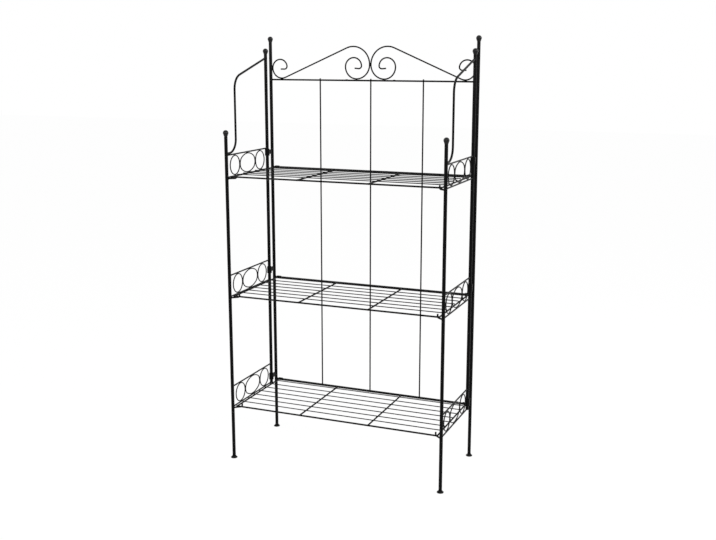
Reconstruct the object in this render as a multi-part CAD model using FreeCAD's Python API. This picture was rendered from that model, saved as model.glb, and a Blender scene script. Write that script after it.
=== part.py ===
import FreeCAD, Part
import math
import os

# Folding bakers rack of powder-coated steel rod. Millimetres, +Z up, front towards -Y,
# origin on the floor at the centre of the footprint.

# ---- overall sizes -------------------------------------------------------------------
frame_width = 690.0          # left post centre to right post centre
frame_depth = 300.0          # front post centre to back post centre
back_ball_z = 1309.0         # centre of the finial ball on a back post
side_ball_drop = 37.5        # ball on a side frame's rear post, under the back post's ball
front_ball_rise = 67.5       # ball on a front post, above the upper guard's top rail
hinge_offset = 35.0          # side frame's rear post in front of the back post
shelf_heights = {"lower": 173.0, "middle": 530.5, "upper": 900.5}

# ---- rod stock, radii over the powder coat -------------------------------------------
post_r = 5.25
cross_rail_r = 3.0
top_rail_r = 2.6
back_rod_r = 2.25
scroll_r = 2.25
brace_r = 3.25
guard_rail_r = 2.35
guard_ring_r = 1.75
shelf_rail_r = 2.6           # front and rear rails of a shelf
shelf_bar_r = 2.5            # side bars and cross bars between them
wire_r = 1.5
hook_r = 2.6

# ---- clearances ----------------------------------------------------------------------
running_gap = 0.08           # radial, rod turning in a sleeve
rest_gap = 0.4               # shelf rail above the hook that carries it
seat_gap = 0.3               # guard rail above the hinge sleeve under it
side_gap = 0.3               # shelf's rear rail in front of the cross rail that it turns about

# ---- finials and feet ----------------------------------------------------------------
ball_r = 8.5
neck_r = 7.2
neck_drop = 10.5             # ball centre down to the top of the post
foot_r_bottom = 10.25
foot_r_top = 6.4
foot_height = 6.6
foot_rim = 2.0               # upright edge at the bottom of the flare
foot_chamfer = 0.5
foot_hollow = 0.8            # depth of the flare's inward curve
foot_floor = 2.4             # thickness under the post

# ---- back panel ----------------------------------------------------------------------
top_rail_drop = 127.0        # top rail under the back posts' balls
rod_overrun = 3.0            # back rod standing above the top rail
scroll_bends = {"left_outer": 32.0, "left_top": 27.0, "left_inner": 24.0,
                "top": 55.0, "right": 44.0, "bottom": 37.0, "left": 28.0, "inner": 26.0,
                "tip": 9.0}
scroll_tip_run = 13.0

# ---- hinge brackets between back posts and side frames ------------------------------
sleeve_wall = 2.4
sleeve_height = 22.0
arm_height = 14.0
arm_thickness = 5.0
sleeve_rise = {"lower": 20.5, "middle": 33.0}     # sleeve centre above the guard's bottom rail

# ---- side frames ---------------------------------------------------------------------
guard_drop = 2.5             # guard's bottom rail under the shelf rails
guard_height = 66.5          # bottom rail to top rail
rear_post_overrun = 3.0      # rear post below the lowest guard rail
brace_start_drop = 21.0      # brace's upper end under the rear post's ball
brace_slope = 0.285
brace_drop_y = 60.5          # vertical run of the brace behind the front post
brace_bend_upper = 45.0
brace_bend_lower = 40.0
oval_end_bend = 22.0
hook_reach_x = 23.0          # hook tip inboard of the post
hook_reach_y = 19.0          # hook tip behind the post
hook_rise = 5.0              # hook tip above the shelf rails
hook_bend = 5.0

# ---- shelves -------------------------------------------------------------------------
shelf_inset = 13.5           # side rail inboard of the posts
front_setback = 4.0          # front rail behind the front posts
wire_count = 7
wire_pitch = 38.0
first_wire = 31.5            # rearmost wire in front of the pivot
cross_bar_x = 113.0
sleeve_run = 14.0            # pivot sleeve at each end of the shelf
pivot_wall = 1.6

# ---- derived -------------------------------------------------------------------------
half_w = frame_width / 2
back_y = frame_depth / 2
front_y = -back_y
rear_y = back_y - hinge_offset
rod_y = back_y + cross_rail_r + back_rod_r
top_rail_y = rod_y - back_rod_r - top_rail_r
pivot_bore_r = cross_rail_r + running_gap
pivot_outer_r = pivot_bore_r + pivot_wall
sleeve_bore_r = post_r + running_gap
sleeve_outer_r = sleeve_bore_r + sleeve_wall
shelf_x = half_w - shelf_inset
shelf_front_y = front_y + front_setback
shelf_rear_y = back_y - cross_rail_r - side_gap - shelf_rail_r
post_foot_z = foot_floor
side_ball_z = back_ball_z - side_ball_drop
top_rail_z = back_ball_z - top_rail_drop
brace_start_z = side_ball_z - brace_start_drop
guard_low = {level: z - guard_drop for level, z in shelf_heights.items()}
guard_high = {level: z + guard_height for level, z in guard_low.items()}
front_ball_z = guard_high["upper"] + front_ball_rise
SIDES = {"left": -1, "right": 1}
X_AXIS = FreeCAD.Vector(1, 0, 0)
Y_AXIS = FreeCAD.Vector(0, 1, 0)
Z_AXIS = FreeCAD.Vector(0, 0, 1)


def vec(x, y, z):
    return FreeCAD.Vector(x, y, z)


def rod(start, end, radius):
    """Straight round bar between two points."""
    along = end.sub(start)
    return Part.makeCylinder(radius, along.Length, start, along)


def tube(start, end, bore, outer):
    """Round sleeve between two points."""
    return rod(start, end, outer).cut(rod(start, end, bore))


def upright(x, y, z_low, z_high, radius):
    return rod(vec(x, y, z_low), vec(x, y, z_high), radius)


def flat_path(start, heading, moves):
    """Edges of a path of straight runs and tangent arcs in a plane.

    start is (u, v), heading is in degrees, a move is a length or a pair
    (radius, turn in degrees, positive to the left). Returns (edges, end, heading).
    """
    u, v = start
    edges = []
    for move in moves:
        h = math.radians(heading)
        if not isinstance(move, tuple):
            nu, nv = u + move * math.cos(h), v + move * math.sin(h)
            edges.append(Part.LineSegment(vec(u, v, 0), vec(nu, nv, 0)).toShape())
            u, v = nu, nv
            continue
        radius, turn = move
        side = 1 if turn > 0 else -1
        cu, cv = u - side * radius * math.sin(h), v + side * radius * math.cos(h)

        def on_arc(share):
            a = math.radians(heading + turn * share)
            return vec(cu + side * radius * math.sin(a), cv - side * radius * math.cos(a), 0)

        end = on_arc(1.0)
        edges.append(Part.Arc(vec(u, v, 0), on_arc(0.5), end).toShape())
        u, v = end.x, end.y
        heading += turn
    return edges, (u, v), heading


def bent_rod(edges, start, heading, radius):
    """Round bar swept along flat edges in the XY plane."""
    h = math.radians(heading)
    ring = Part.Wire([Part.Circle(vec(start[0], start[1], 0),
                                  vec(math.cos(h), math.sin(h), 0), radius).toShape()])
    return Part.Wire(edges).makePipeShell([ring], True, False)


def stand_up(shape, u_axis, v_axis, origin):
    """Moves a shape from the XY plane to the plane of u_axis and v_axis at origin."""
    n = u_axis.cross(v_axis)
    place = FreeCAD.Matrix(u_axis.x, v_axis.x, n.x, origin.x,
                           u_axis.y, v_axis.y, n.y, origin.y,
                           u_axis.z, v_axis.z, n.z, origin.z,
                           0, 0, 0, 1)
    moved = shape.copy()
    moved.Placement = FreeCAD.Placement(place)
    return moved


def mirrored(shape):
    return shape.mirror(vec(0, 0, 0), X_AXIS)


def group(solids):
    return solids[0] if len(solids) == 1 else Part.makeCompound(solids)


def finial(x, y, ball_z):
    """Ball with a tapered neck, flat underneath where it stands on the post."""
    post_top = ball_z - neck_drop
    neck = Part.makeCone(post_r, neck_r, neck_drop - 4.5, vec(x, y, post_top))
    ball = Part.makeSphere(ball_r, vec(x, y, ball_z))
    below = Part.makeCylinder(2 * ball_r, ball_r, vec(x, y, post_top - ball_r))
    return ball.fuse(neck).cut(below).removeSplitter()


def foot_cap(x, y):
    """Cup with a trumpet flare, pushed onto the end of a post."""
    rim, top = vec(foot_r_bottom, 0, foot_rim), vec(foot_r_top, 0, foot_height)
    along = top.sub(rim)
    inward = vec(-along.z, 0, along.x).multiply(foot_hollow / along.Length)
    belly = rim.add(top).multiply(0.5).add(inward)
    corners = [vec(0, 0, 0), vec(foot_r_bottom - foot_chamfer, 0, 0),
               vec(foot_r_bottom, 0, foot_chamfer), rim]
    edges = [Part.LineSegment(a, b).toShape() for a, b in zip(corners, corners[1:])]
    edges.append(Part.Arc(rim, belly, top).toShape())
    corners = [top, vec(post_r, 0, foot_height), vec(post_r, 0, foot_floor),
               vec(0, 0, foot_floor), vec(0, 0, 0)]
    edges += [Part.LineSegment(a, b).toShape() for a, b in zip(corners, corners[1:])]
    cap = Part.Face(Part.Wire(edges)).revolve(vec(0, 0, 0), Z_AXIS, 360)
    cap.translate(vec(x, y, 0))
    return cap


nodes = {}

# ---- back panel: two posts, four rails, three rods, two scrolls ----------------------
back_posts = {}
for side, s in SIDES.items():
    x = s * half_w
    back_posts[side] = upright(x, back_y, post_foot_z, back_ball_z - neck_drop, post_r)
    nodes["back_post_" + side] = back_posts[side]
    nodes["back_finial_" + side] = finial(x, back_y, back_ball_z)
    nodes["back_foot_" + side] = foot_cap(x, back_y)


def panel_rail(y, z, radius):
    """Rail from post to post, its ends saddled to the posts."""
    bar = rod(vec(-half_w, y, z), vec(half_w, y, z), radius)
    for post in back_posts.values():
        bar = bar.cut(post)
    return max(bar.Solids, key=lambda solid: solid.Volume)


nodes["top_rail"] = panel_rail(top_rail_y, top_rail_z, top_rail_r)
for level, z in shelf_heights.items():
    nodes["cross_rail_" + level] = panel_rail(back_y, z, cross_rail_r)

rod_low = shelf_heights["lower"] - cross_rail_r
rod_high = top_rail_z + top_rail_r + rod_overrun
for name, x in (("left", -half_w / 2), ("centre", 0.0), ("right", half_w / 2)):
    nodes["back_rod_" + name] = upright(x, rod_y, rod_low, rod_high, back_rod_r)


def scroll():
    """Left scroll: two curls joined by the tangent that crosses from one to the other."""
    b = scroll_bends
    base = top_rail_z + top_rail_r + scroll_r
    left_x = -half_w + post_r + scroll_r
    c1 = (left_x + b["left_outer"], base + b["left_outer"])
    c2 = (-scroll_r - b["top"], base + b["right"])
    du, dv = c2[0] - c1[0], c2[1] - c1[1]
    reach = b["left_outer"] + b["top"]
    run = math.sqrt(du * du + dv * dv - reach * reach)
    lean = math.degrees(math.atan2(dv, du) + math.atan2(reach, run))
    a = math.radians(lean)
    p1 = (c1[0] + b["left_outer"] * math.sin(a), c1[1] - b["left_outer"] * math.cos(a))
    p2 = (c2[0] - b["top"] * math.sin(a), c2[1] + b["top"] * math.cos(a))
    left, left_end, left_heading = flat_path(p1, lean + 180, [
        (b["left_outer"], -(lean + 90)), (b["left_top"], -90), (b["left_inner"], -80),
        (b["tip"], -100), scroll_tip_run])
    right, end, heading = flat_path(p2, lean, [
        (b["top"], -(lean + 90)), (b["right"], -90), (b["bottom"], -90), (b["left"], -90),
        (b["inner"], -85), (b["tip"], -100), scroll_tip_run])
    middle = Part.LineSegment(vec(p1[0], p1[1], 0), vec(p2[0], p2[1], 0)).toShape()
    edges = list(reversed(left)) + [middle] + right
    path = Part.Wire(Part.__sortEdges__(edges))
    start = left_end
    bar = bent_rod(path.Edges, start, left_heading + 180, scroll_r)
    return stand_up(bar, X_AXIS, Z_AXIS, vec(0, top_rail_y, 0))


nodes["scroll_left"] = scroll()
nodes["scroll_right"] = mirrored(nodes["scroll_left"])

# ---- side frames ---------------------------------------------------------------------
sleeve_z = {level: guard_low[level] + rise for level, rise in sleeve_rise.items()}
sleeve_z["upper"] = guard_high["upper"] - guard_rail_r - seat_gap - sleeve_height / 2


def hinge_bracket(s, z):
    """Sleeve round the side frame's rear post with an arm back to the back post."""
    x = s * half_w
    low, high = z - sleeve_height / 2, z + sleeve_height / 2
    body = rod(vec(x, rear_y, low), vec(x, rear_y, high), sleeve_outer_r)
    arm = Part.makeBox(arm_thickness, hinge_offset, arm_height,
                       vec(x - arm_thickness / 2, rear_y, z - arm_height / 2))
    body = body.fuse(arm).removeSplitter()
    body = body.cut(rod(vec(x, rear_y, low - 1), vec(x, rear_y, high + 1), sleeve_bore_r))
    return body.cut(back_posts["left" if s < 0 else "right"])


def guard_rail(s, z, posts):
    """Side rail saddled between the front post and the rear post."""
    x = s * half_w
    bar = rod(vec(x, front_y, z), vec(x, rear_y, z), guard_rail_r)
    for post in posts:
        bar = bar.cut(post)
    return max(bar.Solids, key=lambda solid: solid.Volume)


def oval_ring(half_long, half_short):
    """Closed ring of four tangent arcs in the XY plane, centred on the origin."""
    e = oval_end_bend
    k = half_long - e
    flank = (k * k + half_short ** 2 - e * e) / (2 * (half_short - e))
    open_angle = 2 * math.degrees(math.atan2(k, flank - half_short))
    edges, _, _ = flat_path((0, -half_short), 0, [
        (flank, open_angle / 2), (e, 180 - open_angle), (flank, open_angle),
        (e, 180 - open_angle), (flank, open_angle / 2)])
    return bent_rod(edges, (0, -half_short), 0, guard_ring_r)


def guard_rings(s, z_low):
    """Circle, oval and circle side by side, filling the height between the two rails."""
    x = s * half_w
    z = z_low + guard_height / 2
    outer = guard_height / 2 - guard_rail_r
    mid_y = (front_y + rear_y) / 2
    span = 7.22 * outer
    ring_y = span / 2 - outer
    oval_half = span / 2 - 2 * outer
    rings = [Part.makeTorus(outer - guard_ring_r, guard_ring_r, vec(x, mid_y + k * ring_y, z),
                            X_AXIS) for k in (-1, 1)]
    oval = oval_ring(oval_half - guard_ring_r, outer - guard_ring_r)
    rings.insert(1, stand_up(oval, Y_AXIS, Z_AXIS, vec(x, mid_y, z)))
    return rings


def brace(s, posts):
    """Rod from the rear post's head down to the front post, on top of the upper guard."""
    x = s * half_w
    lean = math.degrees(math.atan(brace_slope))
    end_z = guard_high["upper"] + guard_rail_r + brace_r
    drop_y = front_y + brace_drop_y
    corner_z = brace_start_z - brace_slope * (rear_y - drop_y)
    t_upper = brace_bend_upper * math.tan(math.radians((90 - lean) / 2))
    slope_run = (rear_y - drop_y) / math.cos(math.radians(lean)) - t_upper
    drop_run = corner_z - t_upper - (end_z + brace_bend_lower)
    last_run = drop_y - brace_bend_lower - front_y
    edges, _, _ = flat_path((rear_y, brace_start_z), 180 + lean, [
        slope_run, (brace_bend_upper, 90 - lean), drop_run,
        (brace_bend_lower, -90), last_run])
    bar = bent_rod(edges, (rear_y, brace_start_z), 180 + lean, brace_r)
    bar = stand_up(bar, Y_AXIS, Z_AXIS, vec(x, 0, 0))
    for post in posts:
        bar = bar.cut(post)
    return max(bar.Solids, key=lambda solid: solid.Volume)


def hook(s, shelf_z, post):
    """Rod from the front post, under the corner of the shelf and up inside it."""
    reach = math.hypot(hook_reach_x, hook_reach_y)
    arm_z = shelf_z - shelf_rail_r - hook_r - rest_gap
    edges, _, _ = flat_path((0, 0), 0, [
        reach - hook_bend, (hook_bend, 90), shelf_z + hook_rise - arm_z - hook_bend])
    bar = bent_rod(edges, (0, 0), 0, hook_r)
    inward = vec(-s * hook_reach_x / reach, hook_reach_y / reach, 0)
    bar = stand_up(bar, inward, Z_AXIS, vec(s * half_w, front_y, arm_z))
    return max(bar.cut(post).Solids, key=lambda solid: solid.Volume)


for side, s in SIDES.items():
    x = s * half_w
    front_post = upright(x, front_y, post_foot_z, front_ball_z - neck_drop, post_r)
    rear_post = upright(x, rear_y, guard_low["lower"] - rear_post_overrun,
                        side_ball_z - neck_drop, post_r)
    posts = (front_post, rear_post)
    nodes[side + "_front_post"] = front_post
    nodes[side + "_rear_post"] = rear_post
    nodes[side + "_front_finial"] = finial(x, front_y, front_ball_z)
    nodes[side + "_rear_finial"] = finial(x, rear_y, side_ball_z)
    nodes[side + "_front_foot"] = foot_cap(x, front_y)
    nodes[side + "_brace"] = brace(s, posts)
    for level in shelf_heights:
        nodes[side + "_hinge_bracket_" + level] = hinge_bracket(s, sleeve_z[level])
        nodes[side + "_guard_rails_" + level] = group(
            [guard_rail(s, z, posts) for z in (guard_low[level], guard_high[level])])
        nodes[side + "_guard_rings_" + level] = group(guard_rings(s, guard_low[level]))
    nodes[side + "_shelf_hooks"] = group(
        [hook(s, z, front_post) for z in shelf_heights.values()])

# ---- shelves -------------------------------------------------------------------------
for level, z in shelf_heights.items():
    rim = shelf_x + shelf_rail_r
    front_rail = rod(vec(-rim, shelf_front_y, z), vec(rim, shelf_front_y, z), shelf_rail_r)
    rear_rail = rod(vec(-rim, shelf_rear_y, z), vec(rim, shelf_rear_y, z), shelf_rail_r)

    def depth_bar(x):
        """Bar from the front rail to the rear rail, saddled at both ends."""
        bar = rod(vec(x, shelf_front_y, z), vec(x, shelf_rear_y, z), shelf_bar_r)
        bar = bar.cut(front_rail).cut(rear_rail)
        return max(bar.Solids, key=lambda solid: solid.Volume)

    sleeves = []
    notched = rear_rail
    for s in SIDES.values():
        ends = [vec(s * (rim - run), back_y, z) for run in (0, sleeve_run)]
        sleeves.append(tube(ends[0], ends[1], pivot_bore_r, pivot_outer_r))
        notched = notched.cut(rod(ends[0], ends[1], pivot_outer_r))
    nodes["shelf_pivots_" + level] = group(sleeves)
    nodes["shelf_rails_" + level] = group(
        [front_rail, notched] + [depth_bar(s * shelf_x) for s in SIDES.values()])
    nodes["shelf_cross_bars_" + level] = group(
        [depth_bar(s * cross_bar_x) for s in SIDES.values()])
    wire_z = z + shelf_bar_r + wire_r
    wires = []
    for k in range(wire_count):
        y = back_y - first_wire - k * wire_pitch
        wires.append(rod(vec(-shelf_x, y, wire_z), vec(shelf_x, y, wire_z), wire_r))
    nodes["shelf_wires_" + level] = group(wires)

# ---- one file per node ---------------------------------------------------------------
os.makedirs("parts", exist_ok=True)
for name, shape in nodes.items():
    if not shape.isValid():
        raise RuntimeError(name + " is not valid")
    shape.exportStep("parts/" + name + ".step")
box = group(list(nodes.values())).optimalBoundingBox(False)
print(len(nodes), "nodes, box", [round(v, 2) for v in (
    box.XMin, box.XMax, box.YMin, box.YMax, box.ZMin, box.ZMax)])
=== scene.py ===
"""Folding bakers rack of powder-coated steel rod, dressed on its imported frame.

Three wire shelves hang between a back panel with a scrolled crest and two side frames with
ring guards. Sizes are in millimetres in the classes below; every mesh ends up in metres, in
the frame's own place.
"""

import logging
import math
from dataclasses import dataclass
from enum import Enum
from typing import Iterable, Sequence, TypeVar, Union

import bmesh
import bpy
from mathutils import Matrix, Vector, noise


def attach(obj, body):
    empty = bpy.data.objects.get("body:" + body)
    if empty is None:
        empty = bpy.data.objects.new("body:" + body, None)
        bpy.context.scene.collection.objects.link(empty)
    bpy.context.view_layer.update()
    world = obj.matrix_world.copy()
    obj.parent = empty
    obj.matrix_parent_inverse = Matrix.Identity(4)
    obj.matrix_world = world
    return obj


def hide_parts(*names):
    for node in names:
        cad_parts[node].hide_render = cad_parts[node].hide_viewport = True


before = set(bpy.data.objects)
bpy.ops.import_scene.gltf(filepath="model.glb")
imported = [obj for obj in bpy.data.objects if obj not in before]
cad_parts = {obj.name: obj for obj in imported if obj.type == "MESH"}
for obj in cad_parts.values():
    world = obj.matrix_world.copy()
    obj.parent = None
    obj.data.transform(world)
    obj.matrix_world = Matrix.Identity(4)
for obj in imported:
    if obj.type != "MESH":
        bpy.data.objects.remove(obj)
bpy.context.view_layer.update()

LOG = logging.getLogger("bakers_rack")
MM = 0.001
X_AXIS, Y_AXIS, Z_AXIS = Vector((1, 0, 0)), Vector((0, 1, 0)), Vector((0, 0, 1))
ENDS = (-1, 1)

Item = TypeVar("Item")
Move = Union[float, tuple[float, float]]
Colour = tuple[float, float, float]
HalfSizes = tuple[float, float, float]
Feed = Union[bpy.types.NodeSocket, float]
ColourFeed = Union[bpy.types.NodeSocket, Colour]


# ---- choices -----------------------------------------------------------------------------
class Side(Enum):
    """The two mirrored halves of the rack; the value is the sign of X."""

    LEFT = -1
    RIGHT = 1

    @property
    def label(self) -> str:
        """The word that starts this side's node names."""
        return self.name.lower()


class Level(Enum):
    """The three shelves, with the height of their rails."""

    LOWER = 173.0
    MIDDLE = 530.5
    UPPER = 900.5

    @property
    def label(self) -> str:
        """The word that ends this level's node names."""
        return self.name.lower()


class Slot(Enum):
    """The record's material slots."""

    STEEL = "powder_coat"
    FOOT = "foot_plastic"


class Effect(Enum):
    """The effects that every finish uses; the value names the one setting of each."""

    ORANGE_PEEL = "Grit"
    RUB_WEAR = "Spread"
    SETTLED_DUST = "Amount"

    @property
    def label(self) -> str:
        """The name of the effect's node group."""
        return self.name.lower()


# ---- sizes that several sub-assemblies share ----------------------------------------------
@dataclass(frozen=True)
class RodStock:
    """Radii of the round bar over its coat, and the places of the posts and guards."""

    post: float = 5.25
    cross_rail: float = 3.0
    top_rail: float = 2.6
    back_rod: float = 2.25
    scroll: float = 2.25
    brace: float = 3.25
    guard_rail: float = 2.35
    guard_ring: float = 1.75
    shelf_rail: float = 2.6
    shelf_bar: float = 2.5
    wire: float = 1.5
    hook: float = 2.6
    half_width: float = 345.0
    back_y: float = 150.0
    front_y: float = -150.0
    rear_y: float = 115.0
    guard_drop: float = 2.5
    guard_height: float = 66.5

    def guard_low(self, level: Level) -> float:
        """Height of a guard's bottom rail."""
        return level.value - self.guard_drop

    def guard_high(self, level: Level) -> float:
        """Height of a guard's top rail."""
        return self.guard_low(level) + self.guard_height


@dataclass(frozen=True)
class MeshGrain:
    """How finely bars are divided, and how their edges are rounded and shaded.

    A bend of up to small_bend turns by small_bend_step degrees a face, a wider one by
    bend_step. Faces that meet at less than smooth_under degrees are shaded as one.
    """

    turned_sides: int = 40
    post_sides: int = 32
    pivot_sides: int = 32
    rail_sides: int = 24
    rod_sides: int = 20
    ring_sides: int = 16
    wire_sides: int = 14
    seam_sides: int = 10
    small_bend: float = 12.0
    small_bend_step: float = 9.0
    bend_step: float = 5.0
    fewest_steps: int = 2
    edge_segments: int = 2
    ring_join: float = 0.02
    pole_join: float = 0.001
    smooth_under: float = 32.0

    def bend_steps(self, bend: float, turn: float) -> int:
        """Straight faces that stand for a bend of a radius and a turn in degrees."""
        step = self.bend_step if bend > self.small_bend else self.small_bend_step
        return max(self.fewest_steps, round(abs(turn) / step))


@dataclass(frozen=True)
class WeldGrain:
    """How weld metal lies and how uneven it is, as shares.

    The offset is how far a bead's middle lies outside the bar, of the bead's radius. The
    flattening is its height along the bar, of its width. The least drop, of the square of
    the post's radius, is for a bead that reaches past the side of its post. The ripples are
    noise: their size, their pitch on the weld, and their drift from one place to the next.
    """

    bead_sides: int = 8
    bead_steps: int = 24
    bead_offset: float = 0.15
    bead_flattening: float = 0.8
    bead_least_drop: float = 0.12
    bead_ripple: float = 0.22
    bead_pitch: float = 0.9
    bead_drift: float = 0.13
    lump_ripple: float = 0.12
    lump_pitch: float = 1.7
    lump_drift: float = 0.21


STOCK = RodStock()
GRAIN = MeshGrain()
WELD = WeldGrain()


# ---- shader effects that every finish uses ------------------------------------------------
class Effects:
    """Shader node groups, each built once and placed in every finish with its own value.

    Noise scales are per metre. A group has the node "In" with Position and its setting, and
    the node "Out" with one value. Wear starts where the noise is this high. Dust starts and
    is full where a face's normal rises this much.
    """

    PEEL_SCALE: float = 620.0
    GRIT_SCALE: float = 3400.0
    DRIFT_SCALE: float = 26.0
    SCUFF_SCALE: float = 420.0
    SPECK_SCALE: float = 900.0
    WEAR_STARTS: float = 0.16
    DUST_STARTS: float = 0.55
    DUST_FULL: float = 1.0

    _made: dict[Effect, bpy.types.ShaderNodeTree] = {}

    @classmethod
    def group(cls, effect: Effect) -> bpy.types.ShaderNodeTree:
        """Builds an effect the first time and returns it after that.

        Args:
            effect: The effect.

        Returns:
            Its node group.
        """
        if effect not in cls._made:
            builders = {Effect.ORANGE_PEEL: cls._orange_peel, Effect.RUB_WEAR: cls._rub_wear,
                        Effect.SETTLED_DUST: cls._settled_dust}
            cls._made[effect] = builders[effect]()
        return cls._made[effect]

    @staticmethod
    def _tree(effect: Effect, default: float, output: str) -> bpy.types.ShaderNodeTree:
        """Makes an effect's group with its sockets and nothing between them.

        Args:
            effect: The effect.
            default: Default of its setting.
            output: Name of what it puts out.

        Returns:
            The node group.
        """
        tree = bpy.data.node_groups.new(effect.label, "ShaderNodeTree")
        tree.interface.new_socket("Position", in_out="INPUT", socket_type="NodeSocketVector")
        setting = tree.interface.new_socket(effect.value, in_out="INPUT",
                                            socket_type="NodeSocketFloat")
        setting.default_value = default
        tree.interface.new_socket(output, in_out="OUTPUT", socket_type="NodeSocketFloat")
        tree.nodes.new("NodeGroupInput").name = "In"
        tree.nodes.new("NodeGroupOutput").name = "Out"
        return tree

    @staticmethod
    def _noise(tree: bpy.types.ShaderNodeTree, scale: float, detail: float,
               roughness: float = 0.5) -> bpy.types.NodeSocket:
        """Adds a noise texture that reads the group's Position.

        Args:
            tree: The group.
            scale: Features in a metre.
            detail: Finer layers on top of the first.
            roughness: Strength of the finer layers.

        Returns:
            The noise, about 0 to 1.
        """
        node = tree.nodes.new("ShaderNodeTexNoise")
        node.inputs["Scale"].default_value = scale
        node.inputs["Detail"].default_value = detail
        node.inputs["Roughness"].default_value = roughness
        tree.links.new(tree.nodes["In"].outputs["Position"], node.inputs["Vector"])
        return node.outputs["Fac"]

    @staticmethod
    def _math(tree: bpy.types.ShaderNodeTree, operation: str, a: Feed,
              b: Feed) -> bpy.types.NodeSocket:
        """Adds a Math node.

        Args:
            tree: The tree that it goes in.
            operation: Its operation.
            a: First socket or number.
            b: Second socket or number.

        Returns:
            The result.
        """
        node = tree.nodes.new("ShaderNodeMath")
        node.operation = operation
        for socket, value in zip(node.inputs, (a, b)):
            if isinstance(value, bpy.types.NodeSocket):
                tree.links.new(value, socket)
            else:
                socket.default_value = value
        return node.outputs["Value"]

    @classmethod
    def _orange_peel(cls) -> bpy.types.ShaderNodeTree:
        """Height of a cured coat: slow ripples of the film with fine grit on them.

        Returns:
            The node group.
        """
        tree = cls._tree(Effect.ORANGE_PEEL, default=0.3, output="Height")
        peel = cls._noise(tree, cls.PEEL_SCALE, detail=1.0)
        grit = cls._noise(tree, cls.GRIT_SCALE, detail=2.0, roughness=0.6)
        share = cls._math(tree, "MULTIPLY", grit, tree.nodes["In"].outputs["Grit"])
        tree.links.new(cls._math(tree, "ADD", peel, share), tree.nodes["Out"].inputs["Height"])
        return tree

    @classmethod
    def _rub_wear(cls) -> bpy.types.ShaderNodeTree:
        """Mask of the patches that handling has polished, in drifts along the bars.

        Returns:
            The node group.
        """
        tree = cls._tree(Effect.RUB_WEAR, default=0.5, output="Mask")
        broad = cls._noise(tree, cls.DRIFT_SCALE, detail=3.0)
        fine = cls._noise(tree, cls.SCUFF_SCALE, detail=3.0, roughness=0.65)
        ramp = tree.nodes.new("ShaderNodeMapRange")
        ramp.interpolation_type = "SMOOTHSTEP"
        ramp.inputs["From Min"].default_value = cls.WEAR_STARTS
        tree.links.new(cls._math(tree, "MULTIPLY", broad, fine), ramp.inputs["Value"])
        tree.links.new(tree.nodes["In"].outputs["Spread"], ramp.inputs["From Max"])
        tree.links.new(ramp.outputs["Result"], tree.nodes["Out"].inputs["Mask"])
        return tree

    @classmethod
    def _settled_dust(cls) -> bpy.types.ShaderNodeTree:
        """Mask of a thin dust film on the faces that look up.

        Returns:
            The node group.
        """
        tree = cls._tree(Effect.SETTLED_DUST, default=0.2, output="Mask")
        facing = tree.nodes.new("ShaderNodeNewGeometry")
        split = tree.nodes.new("ShaderNodeSeparateXYZ")
        tree.links.new(facing.outputs["Normal"], split.inputs["Vector"])
        ramp = tree.nodes.new("ShaderNodeMapRange")
        ramp.inputs["From Min"].default_value = cls.DUST_STARTS
        ramp.inputs["From Max"].default_value = cls.DUST_FULL
        tree.links.new(split.outputs["Z"], ramp.inputs["Value"])
        specks = cls._noise(tree, cls.SPECK_SCALE, detail=4.0, roughness=0.7)
        dusty = cls._math(tree, "MULTIPLY", ramp.outputs["Result"], specks)
        scaled = cls._math(tree, "MULTIPLY", dusty, tree.nodes["In"].outputs["Amount"])
        tree.links.new(scaled, tree.nodes["Out"].inputs["Mask"])
        return tree


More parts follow.
